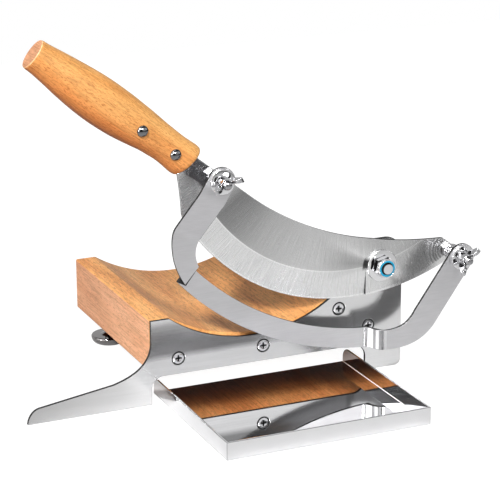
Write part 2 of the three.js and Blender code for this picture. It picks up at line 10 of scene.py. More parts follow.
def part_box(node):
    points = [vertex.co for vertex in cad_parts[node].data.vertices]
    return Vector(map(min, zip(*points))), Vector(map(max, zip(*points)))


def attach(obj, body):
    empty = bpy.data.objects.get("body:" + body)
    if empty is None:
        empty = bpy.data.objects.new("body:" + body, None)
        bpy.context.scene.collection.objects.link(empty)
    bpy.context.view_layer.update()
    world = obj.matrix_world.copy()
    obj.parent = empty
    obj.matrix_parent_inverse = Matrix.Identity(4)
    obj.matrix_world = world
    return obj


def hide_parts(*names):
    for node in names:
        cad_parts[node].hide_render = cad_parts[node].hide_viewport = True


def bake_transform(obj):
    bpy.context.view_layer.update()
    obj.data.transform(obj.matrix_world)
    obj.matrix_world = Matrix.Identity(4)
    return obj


MM = 0.001

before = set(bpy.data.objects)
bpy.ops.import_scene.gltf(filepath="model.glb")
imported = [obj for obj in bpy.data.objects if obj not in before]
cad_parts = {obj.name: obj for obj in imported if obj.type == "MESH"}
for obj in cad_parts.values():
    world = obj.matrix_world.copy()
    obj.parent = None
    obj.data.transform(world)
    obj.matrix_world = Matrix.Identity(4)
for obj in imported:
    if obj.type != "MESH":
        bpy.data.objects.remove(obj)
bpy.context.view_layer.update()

UP_Y = Vector((0, 1, 0))

# ---- driving sizes and places ----
EDGE_CENTRE = Vector((68.4, 0, 182.2)) * MM  # centre of the blade's curved edge, in X and Z
EDGE_RADIUS = 130.7 * MM
BEVEL_CENTRE = Vector((65.8, 0, 181)) * MM  # centre of the line where the bevel starts
BEVEL_RADIUS = 111 * MM
PIVOT_CENTRE = Vector((89.4, 0, 70.2)) * MM
GRIP_FRONT = Vector((-42.2, -23.5, 152.3)) * MM  # middle of the handle's front end
GRIP_ANGLE = math.radians(141.9)
GRIP_AXIS = Vector((math.cos(GRIP_ANGLE), 0, math.sin(GRIP_ANGLE)))
GRIP_ACROSS = Vector((math.sin(GRIP_ANGLE), 0, -math.cos(GRIP_ANGLE)))
GRIP_MIDDLE = GRIP_FRONT.dot(GRIP_ACROSS)
FLAT_NORMAL = 0.985  # a face this close to an axis is one of the tray's flats, and not a fold
FOLD_AREA = 60 * MM * MM
STUD_CENTRE = Vector((136.8, 0, 74.8)) * MM  # right stud, in X and Z
# Places along the handle, and how far it reaches above and below its axis there, in millimetres.
GRIP_WIDTHS = ((0.0, 10.0, 10.0), (0.35, 10.5, 10.5), (1.2, 11.1, 10.8), (3.5, 11.45, 11.0), (8, 11.3, 10.6),
               (12, 11.2, 10.2), (18, 11.5, 9.9), (24, 11.9, 10.2), (30, 12.4, 10.6), (38, 13.1, 11.8),
               (45, 13.5, 12.8), (52, 13.9, 13.6), (66, 14.1, 14.2), (78, 13.6, 13.8), (92, 12.3, 12.4),
               (104, 10.9, 10.7), (113, 9.8, 9.7), (117.4, 9.5, 9.5), (118.2, 9.1, 9.1))
GRIP_DEPTH = 0.8
FRONT_SLANT = 0.22
SLANT_LENGTH = 25
THREAD_PITCH = 0.8 * MM
LAP_TIP = Vector((-48, 0, 78.2)) * MM  # lowest corner of the left arm
LAP_DOWN = Vector((0.789, 0, -0.614))  # away from the arm, across its lower end
LAP_RISE = Vector((0.474, 0, 0.88))
NUT_TURN = math.radians(-15)
CAMERA_PLACE = (-0.45941, -1.05835, 0.44323)
CAMERA_TURN = (72.755, -23.879, -0.213)  # tilt up from straight down, turn about Z, roll, in degrees
CAMERA_LENS = 139.55
CAMERA_SENSOR = 36
FLOOR_HALF = 1.0  # half the pale table's width and depth
FLOOR_DROP = 0.2 * MM  # keeps the table clear of the faces that stand on it
# The handle's rivets: places along the dome from its crown, as (radius, depth), in millimetres.
RIVET_DOME = ((0, 0), (1.3, 0.12), (2.4, 0.55), (3.1, 1.15), (3.5, 1.9), (3.5, 2.6), (2, 2.6))
# A rear foot from its sole up, as (radius, height), in millimetres.
FOOT_PROFILE = ((0, 0), (9.0, 0), (9.6, 0.2), (10.8, 1.1), (11.6, 2.4), (12.0, 3.9), (11.9, 4.8),
                (11.4, 5.35), (10.6, 5.4), (6.0, 5.5), (4.2, 6.2), (3.1, 7.2), (2.9, 8.4), (2.9, 30), (0, 30))
# Sizes of the fasteners, in millimetres: radii, and half widths across flats.
SCREW_HEAD_RADIUS = 4
STUD_RADIUS, STUD_THREAD_DEPTH = 2.45, 0.45
STUD_NUT_HALF, STUD_NUT_BORE = 3.98, 2.6
WASHER_BORE, SPRING_WASHER_RADIUS, WING_WASHER_RADIUS = 2.8, 6.6, 7.8
WIRE_RADIUS, COIL_RADIUS = 0.4, 4.9
COIL_TURNS = {"left": 3, "right": 5}
BOLT_HALF, BOLT_THREAD_RADIUS, BOLT_SHANK_RADIUS = 6.3, 3.97, 3.95
BOLT_THREAD_LENGTH, BOLT_HEAD_HEIGHT = 9, 5.3
NUT_BORE, COLLAR_HEIGHT = 4.1, 2.2
NYLON_RADIUS, PIVOT_WASHER_BORE, PIVOT_WASHER_RADIUS = 5.2, 4.2, 10.4


# ---- node helpers ----
def node(tree, kind, inputs=None, **settings):
    """A new node, with each input linked to a socket or set to a value."""
    made = tree.nodes.new(kind)
    for key, value in settings.items():
        setattr(made, key, value)
    for key, value in (inputs or {}).items():
        if isinstance(value, bpy.types.NodeSocket):
            tree.links.new(value, made.inputs[key])
        else:
            made.inputs[key].default_value = value
    return made


def material(name, **sockets):
    """A material with a Principled BSDF, and its tree and shader."""
    made = bpy.data.materials.new(name)
    made.use_nodes = True
    shader = made.node_tree.nodes["Principled BSDF"]
    for key, value in sockets.items():
        shader.inputs[key.replace("_", " ")].default_value = value
    return made, made.node_tree, shader


def ramp(tree, factor, *stops):
    """A colour ramp from (position, colour) stops."""
    made = node(tree, "ShaderNodeValToRGB", {"Fac": factor})
    points = made.color_ramp.elements
    while len(points) < len(stops):
        points.new(0.5)
    for point, (position, colour) in zip(points, stops):
        point.position = position
        point.color = (*colour, 1) if len(colour) == 3 else colour
    return made.outputs["Color"]


def grey(value):
    """An even grey."""
    return (value, value, value)


def noise(tree, vector, scale, detail=3.0, roughness=0.5):
    """Cloudy noise from 0 to 1."""
    made = node(tree, "ShaderNodeTexNoise", {"Vector": vector, "Scale": scale, "Detail": detail,
                                             "Roughness": roughness})
    return made.outputs["Fac"]


def stretched(tree, scale, turn=(0, 0, 0)):
    """Object coordinates, turned and then scaled along each axis."""
    place = node(tree, "ShaderNodeTexCoord").outputs["Object"]
    turned = node(tree, "ShaderNodeMapping", {"Vector": place, "Rotation": turn}).outputs["Vector"]
    return node(tree, "ShaderNodeMapping", {"Vector": turned, "Scale": scale}).outputs["Vector"]


def bumped(tree, shader, height, strength, distance):
    """Raises a shader's surface by a height map, in metres."""
    bump = node(tree, "ShaderNodeBump", {"Height": height, "Strength": strength, "Distance": distance})
    tree.links.new(bump.outputs["Normal"], shader.inputs["Normal"])


def mixed(tree, factor, a, b, blend="MIX"):
    """Two colours mixed, or multiplied, by a factor. Each is a socket or a value."""
    made = node(tree, "ShaderNodeMix", data_type="RGBA", blend_type=blend)
    for socket, value in ((made.inputs[0], factor), (made.inputs[6], a), (made.inputs[7], b)):
        if isinstance(value, bpy.types.NodeSocket):
            tree.links.new(value, socket)
        else:
            socket.default_value = value
    return made.outputs[2]


def along(tree, axis):
    """The place along one of the frame's axes."""
    place = node(tree, "ShaderNodeTexCoord").outputs["Object"]
    return node(tree, "ShaderNodeSeparateXYZ", {0: place}).outputs[axis]


def polar(tree, centre):
    """The angle in the XZ plane and the distance from a centre."""
    place = node(tree, "ShaderNodeTexCoord").outputs["Object"]
    away = node(tree, "ShaderNodeVectorMath", {0: place, 1: centre}, operation="SUBTRACT").outputs[0]
    out = node(tree, "ShaderNodeVectorMath", {0: away, 1: (1, 0, 1)}, operation="MULTIPLY").outputs[0]
    parts = node(tree, "ShaderNodeSeparateXYZ", {0: out})
    angle = node(tree, "ShaderNodeMath", {0: parts.outputs["X"], 1: parts.outputs["Z"]},
                 operation="ARCTAN2").outputs[0]
    radius = node(tree, "ShaderNodeVectorMath", {0: out}, operation="LENGTH").outputs["Value"]
    return angle, radius


def span(tree, value, low, high):
    """0 at the low value, 1 at the high one and beyond."""
    return node(tree, "ShaderNodeMapRange", {"Value": value, "From Min": low, "From Max": high}).outputs[0]


def spun(tree, angle, across, radius, outwards):
    """Coordinates that run round and out from a centre."""
    wide = node(tree, "ShaderNodeMath", {0: angle, 1: across}, operation="MULTIPLY").outputs[0]
    tall = node(tree, "ShaderNodeMath", {0: radius, 1: outwards}, operation="MULTIPLY").outputs[0]
    return node(tree, "ShaderNodeCombineXYZ", {"X": wide, "Y": tall}).outputs[0]


def base_tint(look):
    """A look's tree, its shader, and what feeds its base colour."""
    shader = look.node_tree.nodes["Principled BSDF"]
    return look.node_tree, shader, shader.inputs["Base Color"].links[0].from_socket


# ---- materials ----
def wood(name, turn, light, mid, dark, fleck, flecks=(0.6, 0.7), figure=0.84, fine=1.0):
    """Oiled beech: broad growth bands, fine straight grain and short dark flecks, all along local X."""
    made, tree, shader = material(name, Roughness=0.42, Specular_IOR_Level=0.25)
    bands = noise(tree, stretched(tree, (14, 75, 75), turn), 1.0, 4.0, 0.55)
    colour = ramp(tree, bands, (0.32, dark), (0.5, mid), (0.68, light))
    lines = noise(tree, stretched(tree, (30, 850, 850), turn), 1.0, 4.0, 0.65)
    shade = ramp(tree, lines, (0.34, grey(0.7)), (0.5, grey(0.93)), (0.64, grey(1.05)))
    colour = mixed(tree, 1.0, colour, shade, "MULTIPLY")
    rays = noise(tree, stretched(tree, (160, 500, 500), turn), 1.0, 2.0, 0.5)
    colour = mixed(tree, 1.0, colour, ramp(tree, rays, (0.36, grey(figure)), (0.52, grey(1.0))), "MULTIPLY")
    specks = noise(tree, stretched(tree, (300 * fine, 2100 * fine, 2100 * fine), turn), 1.0, 1.0, 0.4)
    mask = ramp(tree, specks, (flecks[0], grey(0.0)), (flecks[1], grey(0.8)))
    colour = mixed(tree, mask, colour, (*fleck, 1))
    tree.links.new(colour, shader.inputs["Base Color"])
    rough = ramp(tree, lines, (0.3, grey(0.5)), (0.7, grey(0.36)))
    tree.links.new(rough, shader.inputs["Roughness"])
    depth = mixed(tree, 0.5, lines, ramp(tree, mask, (0.0, grey(1.0)), (1.0, grey(0.0))))
    bumped(tree, shader, depth, 0.12, 0.15 * MM)
    return made


def brushed(name, base, roughness, scale, turn=(0, 0, 0), strength=0.06, smudge=0.05):
    """Steel with fine parallel scratches along local X and a little unevenness in its polish."""
    made, tree, shader = material(name, Metallic=1.0, Roughness=roughness)
    scratches = noise(tree, stretched(tree, scale, turn), 1.0, 2.0, 0.6)
    cloud = noise(tree, stretched(tree, (22, 22, 22)), 1.0, 3.0, 0.5)
    tint = ramp(tree, scratches, (0.3, tuple(c * 0.93 for c in base)), (0.7, base))
    tree.links.new(tint, shader.inputs["Base Color"])
    blended = mixed(tree, 0.5, scratches, cloud)
    rough = ramp(tree, blended, (0.35, grey(roughness - smudge)), (0.65, grey(roughness + smudge)))
    tree.links.new(rough, shader.inputs["Roughness"])
    bumped(tree, shader, scratches, strength, 0.02 * MM)
    return made


def graded(look, way, low, high, *tones):
    """Paints light and shade into a look's tone along a direction, from one place to another, in metres."""
    tree, shader, tint = base_tint(look)
    spot = node(tree, "ShaderNodeTexCoord").outputs["Object"]
    reach = node(tree, "ShaderNodeVectorMath", {0: spot, 1: way}, operation="DOT_PRODUCT").outputs["Value"]
    shade = ramp(tree, span(tree, reach, low, high), *tones)
    tree.links.new(mixed(tree, 1.0, tint, shade, "MULTIPLY"), shader.inputs["Base Color"])
    return look


def painted_plate_reflection(look):
    """Painted reflection: a soft darker bloom on the upper left of the plate."""
    tree, shader, tint = base_tint(look)
    height = ramp(tree, span(tree, along(tree, "Z"), 26 * MM, 56 * MM), (0.05, grey(0.0)), (0.2, grey(1.0)),
                  (0.38, grey(1.0)), (0.6, grey(0.6)), (0.8, grey(0.45)), (0.9, grey(0.0)))
    reach = span(tree, along(tree, "X"), 48 * MM, 0)
    bloom = mixed(tree, 1.0, height, reach, "MULTIPLY")
    tree.links.new(mixed(tree, bloom, tint, mixed(tree, 1.0, tint, (0.36, 0.36, 0.36, 1), "MULTIPLY")),
                   shader.inputs["Base Color"])
    return look


def painted_step_reflections(look):
    """Paints brighter and darker bands across the strip's step, as painted reflections of its bends."""
    tree, shader, tint = base_tint(look)
    way = node(tree, "ShaderNodeMath", {0: along(tree, "X"), 1: along(tree, "Y")},
               operation="SUBTRACT").outputs[0]
    tones = ramp(tree, span(tree, way, 103 * MM, 128 * MM), *STEP_REFLECTION_TONES)
    tree.links.new(mixed(tree, 1.0, tint, tones, "MULTIPLY"), shader.inputs["Base Color"])
    return look


def plated(name, base, roughness):
    """Bright plating on a small casting: painted shade dark in its hollows, and wear bright on its edges."""
    made = polished(name, base, roughness)
    tree, shader, tint = base_tint(made)
    bend = node(tree, "ShaderNodeNewGeometry").outputs["Pointiness"]
    hollow_shade_and_wear = ramp(tree, bend, (0.44, grey(0.05)), (0.492, grey(0.5)), (0.53, grey(0.9)))
    tree.links.new(mixed(tree, 1.0, tint, hollow_shade_and_wear, "MULTIPLY"), shader.inputs["Base Color"])
    return made


def ground(name, base, roughness, strength):
    """Steel ground across its curved edge, with painted shade, highlights and reflections: tones round the
    bevel, white lines where the bevel starts and along the honed edge, and streaks round the pivot, a
    crescent by its washer and rings by the right stud.
    """
    made, tree, shader = material(name, Metallic=1.0, Roughness=roughness)
    angle, radius = polar(tree, EDGE_CENTRE)
    lines = noise(tree, spun(tree, angle, 330.0, radius, 45.0), 1.0, 6.0, 0.72)
    tint = ramp(tree, lines, (0.33, grey(base * 0.74)), (0.62, grey(base)))
    # Painted shade across the bevel, round its centre.
    bevel_angle, reach = polar(tree, BEVEL_CENTRE)
    turns = span(tree, bevel_angle, -math.pi, math.pi)
    bevel_shade = mixed(tree, 1.0, tint, ramp(tree, turns, *BLADE_SHADE_TONES), "MULTIPLY")
    tint = mixed(tree, span(tree, reach, BEVEL_RADIUS + 0.1 * MM, BEVEL_RADIUS - 0.2 * MM), tint, bevel_shade)
    # Painted highlight: a white line where the bevel starts.
    bevel_highlight = ramp(tree, span(tree, reach, BEVEL_RADIUS - 0.7 * MM, BEVEL_RADIUS + 0.5 * MM), (0.1, grey(0.0)),
                (0.4, grey(1.0)), (0.6, grey(1.0)), (0.95, grey(0.0)))
    tint = mixed(tree, bevel_highlight, tint, (1, 1, 1, 1))
    # Painted reflections: streaks round the pivot.
    pivot_turn, away = polar(tree, PIVOT_CENTRE)
    pivot_turn = span(tree, pivot_turn, -math.pi, math.pi)
    pivot_reflections = mixed(tree, 1.0, tint, ramp(tree, pivot_turn, *PIVOT_REFLECTION_TONES), "MULTIPLY")
    tint = mixed(tree, span(tree, away, 46 * MM, 22 * MM), tint, pivot_reflections)
    # Painted reflection of the nut: a dark crescent close round the washer.
    washer_reflection = mixed(tree, 1.0, tint, ramp(tree, pivot_turn, *WASHER_REFLECTION_TONES), "MULTIPLY")
    tint = mixed(tree, span(tree, away, 13.6 * MM, 12.8 * MM), tint, washer_reflection)
    # Painted reflections: rings on the left of the right stud.
    lug_angle, lug_reach = polar(tree, STUD_CENTRE)
    rings = ramp(tree, span(tree, lug_reach, 4 * MM, 18 * MM), *STUD_REFLECTION_TONES)
    west = span(tree, lug_angle, 0.0, -0.8)
    tint = mixed(tree, west, tint, mixed(tree, 1.0, tint, rings, "MULTIPLY"))
    # Painted highlight: a white band along the honed edge.
    edge_highlight = span(tree, radius, EDGE_RADIUS - 1.3 * MM, EDGE_RADIUS - 1.0 * MM)
    tint = mixed(tree, edge_highlight, tint, (1, 1, 1, 1))
    tree.links.new(tint, shader.inputs["Base Color"])
    rough = ramp(tree, lines, (0.3, grey(roughness + 0.06)), (0.7, grey(roughness - 0.05)))
    tree.links.new(rough, shader.inputs["Roughness"])
    bumped(tree, shader, lines, strength, 0.04 * MM)
    return made


def polished(name, base, roughness):
    """Mirror-polished metal with a faint haze and the slight waviness of thin sheet."""
    made, tree, shader = material(name, Metallic=1.0, Roughness=roughness)
    haze = noise(tree, stretched(tree, (60, 60, 60)), 1.0, 4.0, 0.6)
    tint = ramp(tree, haze, (0.3, tuple(0.97 * c for c in base)), (0.7, base))
    tree.links.new(tint, shader.inputs["Base Color"])
    rough = ramp(tree, haze, (0.4, grey(roughness * 0.7)), (0.7, grey(roughness * 1.5)))
    tree.links.new(rough, shader.inputs["Roughness"])
    waves = noise(tree, stretched(tree, (14, 14, 14)), 1.0, 1.0, 0.5)
    bumped(tree, shader, waves, 0.05, 0.6 * MM)
    return made


def moulded(name, colour):
    """Moulded nylon with a faint grain."""
    made, tree, shader = material(name, Roughness=0.35, Subsurface_Weight=0.0)
    grain = noise(tree, stretched(tree, (900, 900, 900)), 1.0, 2.0, 0.5)
    tint = ramp(tree, grain, (0.3, tuple(0.85 * c for c in colour)), (0.7, colour))
    tree.links.new(tint, shader.inputs["Base Color"])
    bumped(tree, shader, grain, 0.1, 0.05 * MM)
    return made


# Painted shade on the blade: tones round the bevel's centre, in turns: 0 is down and 0.25 to the left.
BLADE_SHADE_TONES = ((0.0, grey(0.84)), (0.05, grey(0.84)), (0.1, grey(0.68)), (0.13, grey(0.45)),
               (0.15, grey(0.36)), (0.165, grey(0.75)), (0.175, grey(1.07)), (0.5, grey(1.05)),
               (0.75, grey(0.9)), (0.95, grey(0.85)), (1.0, grey(0.84)))
# Painted reflections round the pivot, in the same turns.
PIVOT_REFLECTION_TONES = ((0.0, grey(1.0)), (0.22, grey(1.0)), (0.28, grey(0.66)), (0.31, grey(0.8)),
               (0.335, grey(1.25)), (0.36, grey(1.05)), (0.42, grey(0.9)), (0.5, grey(0.85)),
               (0.6, grey(0.92)), (0.68, grey(0.85)), (0.71, grey(0.78)), (0.77, grey(0.86)),
               (0.8, grey(1.0)), (0.83, grey(1.3)), (0.86, grey(1.1)), (0.89, grey(0.75)),
               (0.93, grey(1.0)), (1.0, grey(1.0)))
# Painted reflections close round the pivot's washer, in turns, and in rings outwards from the right stud.
WASHER_REFLECTION_TONES = ((0.0, grey(1.0)), (0.22, grey(1.0)), (0.25, grey(0.14)), (0.31, grey(0.1)), (0.34, grey(1.0)))
STUD_REFLECTION_TONES = ((0.0, grey(0.2)), (0.12, grey(0.9)), (0.2, grey(0.3)), (0.27, grey(1.1)), (0.33, grey(0.35)),
              (0.38, grey(0.9)), (0.46, grey(0.45)), (0.52, grey(1.15)), (0.62, grey(0.7)), (0.68, grey(1.1)),
              (0.85, grey(0.95)), (1.0, grey(1.0)))
# Painted reflections: tones across the gauge strip's step.
STEP_REFLECTION_TONES = ((0.02, grey(1.0)), (0.13, grey(0.82)), (0.24, grey(1.0)), (0.44, grey(1.0)),
              (0.48, grey(0.3)), (0.55, grey(0.45)), (0.61, grey(1.0)), (0.67, grey(0.85)),
              (0.72, grey(0.22)), (0.79, grey(0.4)), (0.85, grey(0.62)), (0.88, grey(1.0)),
              (0.94, grey(1.0)), (0.98, grey(0.97)))
# Tones from the block's front to its back: painted light on its left end, brightest at the front, and painted
# shade on its underside, darkest at the back.
SIDE_LIGHT_TONES = ((0.0, (1.3, 1.33, 1.35)), (0.25, (1.25, 1.28, 1.3)), (0.7, (1.0, 0.97, 0.95)),
              (1.0, (0.98, 0.92, 0.88)))
UNDER_SHADE_TONES = ((0.0, (1.25, 1.12, 1.1)), (0.25, (1.12, 0.98, 0.95)), (0.55, (0.54, 0.42, 0.37)),
               (0.9, (0.3, 0.18, 0.15)), (1.0, (0.26, 0.15, 0.12)))
# Painted shade: tones from the handle's lower edge, darkest, to its upper one.
GRIP_SHADE_TONES = ((0.0, (0.62, 0.4, 0.34)), (0.16, (0.82, 0.64, 0.6)), (0.4, (0.86, 0.84, 0.88)),
              (1.0, (0.87, 0.94, 0.96)))
# Painted shade on the plate: tones from the tip of its long foot, darkest, to its root.
FOOT_SHADE_TONES = ((0.0, grey(0.72)), (0.5, grey(0.86)), (1.0, grey(1.0)))
BLOCK_GRAIN = (0, 0, math.radians(-90))  # brings the frame's Y axis onto local X
GRIP_GRAIN = (0, GRIP_ANGLE, 0)
# Light, middle and dark tones of beech, and the colour of its flecks.
BEECH = ((0.95, 0.49, 0.175), (0.89, 0.41, 0.135), (0.74, 0.3, 0.09), (0.3, 0.1, 0.035))
TAN = ((0.8, 0.42, 0.23), (0.74, 0.365, 0.19), (0.66, 0.3, 0.145), (0.4, 0.16, 0.07))
WARM = ((0.9, 0.46, 0.15), (0.87, 0.41, 0.125), (0.82, 0.34, 0.095), (0.45, 0.14, 0.035))
# Paler tones for the painted highlight on the rim round the handle's butt.
RIM_HIGHLIGHT = ((0.95, 0.68, 0.4), (0.94, 0.62, 0.33), (0.9, 0.52, 0.25), (0.7, 0.3, 0.12))
SHEET_GRAIN = (90, 900, 900)
LOOK = {
    "block": wood("beech_block", BLOCK_GRAIN, *BEECH),
    # Painted light on the block's ends, brighter towards the front.
    "block_side": graded(wood("beech_block_side", BLOCK_GRAIN, *TAN, figure=0.94),
                         (0, 1, 0), -18 * MM, 118 * MM, *SIDE_LIGHT_TONES),
    # Painted shade on the block's underside, darker towards the back.
    "block_under": graded(wood("beech_block_under", BLOCK_GRAIN, *BEECH),
                          (0, 1, 0), -10 * MM, 30 * MM, *UNDER_SHADE_TONES),
    # The handle: painted shade, darker towards its lower edge.
    "grip": graded(wood("beech_handle", GRIP_GRAIN, *WARM, flecks=(0.57, 0.67), figure=0.95, fine=1.35),
                   GRIP_ACROSS, GRIP_MIDDLE - 14 * MM, GRIP_MIDDLE + 14 * MM, *GRIP_SHADE_TONES),
    "grip_end": wood("beech_end_grain", BLOCK_GRAIN, *TAN),
    # Painted highlight on the handle butt's rounded rim.
    "grip_rim": wood("beech_rim_highlight", GRIP_GRAIN, *RIM_HIGHLIGHT),
    # The plate: a painted dark reflection on its upper left, and painted shade darker towards its foot's tip.
    "plate": graded(painted_plate_reflection(brushed("polished_plate", (0.84, 0.84, 0.845), 0.16, (25, 900, 1800),
                                   strength=0.05, smudge=0.03)),
                    (1, 0, 0), -145 * MM, -75 * MM, *FOOT_SHADE_TONES),
    # The strip's step: painted reflections in bands across it.
    "step": painted_step_reflections(brushed("step_painted_reflections", (0.82, 0.82, 0.83), 0.2, SHEET_GRAIN, strength=0.05, smudge=0.03)),
    # Plating with painted shade in its hollows and wear on its edges.
    "plated": plated("cast_plating", (0.86, 0.86, 0.88), 0.06),
    # The blade: ground steel with painted shade, highlights and reflections.
    "blade": ground("ground_blade", 0.93, 0.27, 0.1),
    "satin": brushed("satin_gauge", (0.65, 0.645, 0.66), 0.34, SHEET_GRAIN, strength=0.05, smudge=0.03),
    # A dull cut edge, darkened to near black as painted shade.
    "cut": brushed("dull_cut_edge_and_painted_shade", grey(0.045), 0.6, (300, 300, 1200), strength=0.15),
    # Painted shade for recesses, rims and thread flanks.
    "recess": brushed("recess_painted_shade", grey(0.018), 0.65, (300, 300, 300)),
    "mirror": polished("mirror_steel", (0.88, 0.88, 0.89), 0.03),
    "chrome": polished("bright_plating", (0.86, 0.86, 0.88), 0.07),
    "rivet": polished("burnished_rivet", (0.24, 0.245, 0.255), 0.06),
    "forged": brushed("dark_forged_steel", (0.24, 0.24, 0.25), 0.2, (25, 420, 420), GRIP_GRAIN, 0.5, 0.08),
    "stud": polished("plated_stud", (0.4, 0.4, 0.41), 0.15),
    "foot": polished("dark_bright_foot", (0.3, 0.29, 0.29), 0.06),
    # Painted highlight and painted shade for the tray's folds.
    "fold_highlight": brushed("inner_fold_painted_highlight", (0.98, 0.98, 0.98), 0.6, (300, 300, 300)),
    "fold": polished("folded_edge_painted_shade", (0.5, 0.5, 0.51), 0.12),
    # Painted shade for the gauge strip's back.
    "scale": brushed("strip_back_painted_shade", (0.27, 0.27, 0.275), 0.35, SHEET_GRAIN),
    # Painted shade for two flanks of the pivot nut.
    "facet": polished("plating_painted_shade", (0.12, 0.12, 0.125), 0.1),
    "brass": brushed("plain_brass", (0.75, 0.58, 0.28), 0.3, (60, 900, 900)),
    "nylon": moulded("blue_nylon", (0.01, 0.3, 0.5)),
}


# How pale the table is at each distance from the slicer, in metres.
FLOOR_TONES = ((0.0, grey(0.62)), (0.3, grey(0.62)), (0.5, grey(0.56)), (0.75, grey(0.34)), (0.98, grey(0.1)))


# ---- mesh helpers ----
def place(name, mesh, body, slot, look, replaces=()):
    """Puts a finished mesh in the scene as a piece that rides on a body, or on none yet."""
    made = bpy.data.objects.new(name, mesh)
    bpy.context.scene.collection.objects.link(made)
    mesh.materials.clear()
    mesh.materials.append(LOOK[look])
    if body:
        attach(made, body)
    if replaces:
        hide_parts(*replaces)
    return made


def mark_cut_edges(made, flat=0.3):
    """Gives a sheet's thickness, up to its flat faces' slope, a dull look of its own, darkened to near black
    as painted shade.
    """
    add_looks(made, "cut")
    for face in made.data.polygons:
        across, upright = abs(face.normal.y), abs(face.normal.z)
        if across < flat or (across < 0.55 and upright > 0.25):
            face.material_index = 1


def add_looks(made, *looks):
    """More looks for a piece, after its first."""
    for look in looks:
        made.data.materials.append(LOOK[look])


def even_normals(made):
    """Keeps a sheet's broad faces flat beside its narrow rounded edges."""
    weights = made.modifiers.new("even_normals", "WEIGHTED_NORMAL")
    weights.keep_sharp = True


def join_rings(bm, rings):
    """Faces between each ring of vertices and the next, with a corner that comes twice used once."""
    for lower, upper in zip(rings, rings[1:]):
        for k in range(len(lower)):
            j = (k + 1) % len(lower)
            corners = list(dict.fromkeys((lower[k], lower[j], upper[j], upper[k])))
            if len(corners) > 2:
                bm.faces.new(corners)


def finished(bm, name, smooth=35):
    """The bmesh as a mesh, smooth apart from its edges sharper than the angle in degrees."""
    bmesh.ops.recalc_face_normals(bm, faces=bm.faces)
    mesh = bpy.data.meshes.new(name)
    bm.to_mesh(mesh)
    bm.free()
    mesh.polygons.foreach_set("use_smooth", [True] * len(mesh.polygons))
    mesh.set_sharp_from_angle(angle=math.radians(smooth))
    return mesh


def cad_copy(name):
    """A CAD node's mesh as a bmesh, with its split vertices and its flat faces joined."""
    bm = bmesh.new()
    bm.from_mesh(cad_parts[name].data)
    bmesh.ops.remove_doubles(bm, verts=bm.verts, dist=1e-6)
    bmesh.ops.dissolve_limit(bm, angle_limit=math.radians(0.5), verts=bm.verts, edges=bm.edges)
    return bm


def bevelled(bm, edges, width, segments, clamp):
    """Rounds the edges of a bmesh, or cuts them flat with one segment. Width in millimetres."""
    bmesh.ops.bevel(bm, geom=edges, offset=width * MM, offset_type="OFFSET", segments=segments, profile=0.5,
                    affect="EDGES", clamp_overlap=clamp)


def refined(name, body, slot, look, width, segments=3, limit=35, shortest=0.0, smooth=35):
    """A CAD node with rounded edges: width in millimetres, on edges sharper than the limit."""
    bm = cad_copy(name)
    sharp = [e for e in bm.edges if e.is_manifold and e.calc_face_angle(0) > math.radians(limit)
             and e.calc_length() > shortest * MM]
    bevelled(bm, sharp, width, segments, False)
    made = place("visual_" + name, finished(bm, name, smooth), body, slot, look, (name,))
    even_normals(made)
    return made


def cast(name, body, slot, look, voxel, steps):
    """A CAD node with the soft edges of a casting: remeshed finely and relaxed."""
    bm = cad_copy(name)
    made = place("visual_" + name, finished(bm, name), body, slot, look, (name,))
    skin = made.modifiers.new("skin", "REMESH")
    skin.mode = "VOXEL"
    skin.voxel_size = voxel * MM
    skin.use_smooth_shade = True
    relax = made.modifiers.new("relax", "SMOOTH")
    relax.iterations = steps
    relax.factor = 0.5
    return made


def rounded(profile, radius, steps=4):
    """A closed profile of (radius, height) corners with each corner rounded, as far as its sides allow."""
    points = [Vector(p) for p in profile]
    out = []
    for i, corner in enumerate(points):
        before, after = points[i - 1] - corner, points[(i + 1) % len(points)] - corner
        cut = min(radius, before.length * 0.45, after.length * 0.45)
        if corner.x < 1e-6 or cut < 1e-6:
            out.append(corner)
            continue
        a, b = corner + before.normalized() * cut, corner + after.normalized() * cut
        for k in range(steps + 1):
            t = k / steps
            out.append(a * (1 - t) ** 2 + corner * 2 * t * (1 - t) + b * t ** 2)
    return out


def lathe(profile, axis_at, up=UP_Y, segments=64):
    """A closed profile of (radius, height) in metres turned about the axis through a point."""
    bm = bmesh.new()
    side = up.orthogonal().normalized()
    front = up.cross(side)
    rings = []
    for r, h in profile:
        centre = axis_at + up * h
        if r < 1e-6:
            rings.append([bm.verts.new(centre)] * segments)
            continue
        turns = [2 * math.pi * i / segments for i in range(segments)]
        rings.append([bm.verts.new(centre + (side * math.cos(a) + front * math.sin(a)) * r) for a in turns])
    join_rings(bm, rings + rings[:1])
    return bm


def millimetres(profile):
    """A profile given in millimetres, in metres."""
    return [(r * MM, h * MM) for r, h in profile]


def axis_of(name):
    """A point on the Y axis through a CAD node's middle, at the frame's y = 0."""
    low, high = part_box(name)
    return Vector(((low.x + high.x) / 2, 0, (low.z + high.z) / 2))


def turned(name, profile, at, body, slot, look, replaces=(), up=UP_Y, smooth=35):
    """A piece turned from a closed profile."""
    return place(name, finished(lathe(profile, at, up), name, smooth), body, slot, look, replaces)


# ---- wood ----
def build_block():
    """The scooped block, with painted light on its ends and painted shade on its underside."""
    block = refined("base_block", "base", "wood", "block", 1.1, segments=4, limit=30, shortest=3.0)
    add_looks(block, "block_side", "block_under")
    for face in block.data.polygons:
        if abs(face.normal.x) > 0.9:
            face.material_index = 1
        elif face.normal.z < -0.5:
            face.material_index = 2


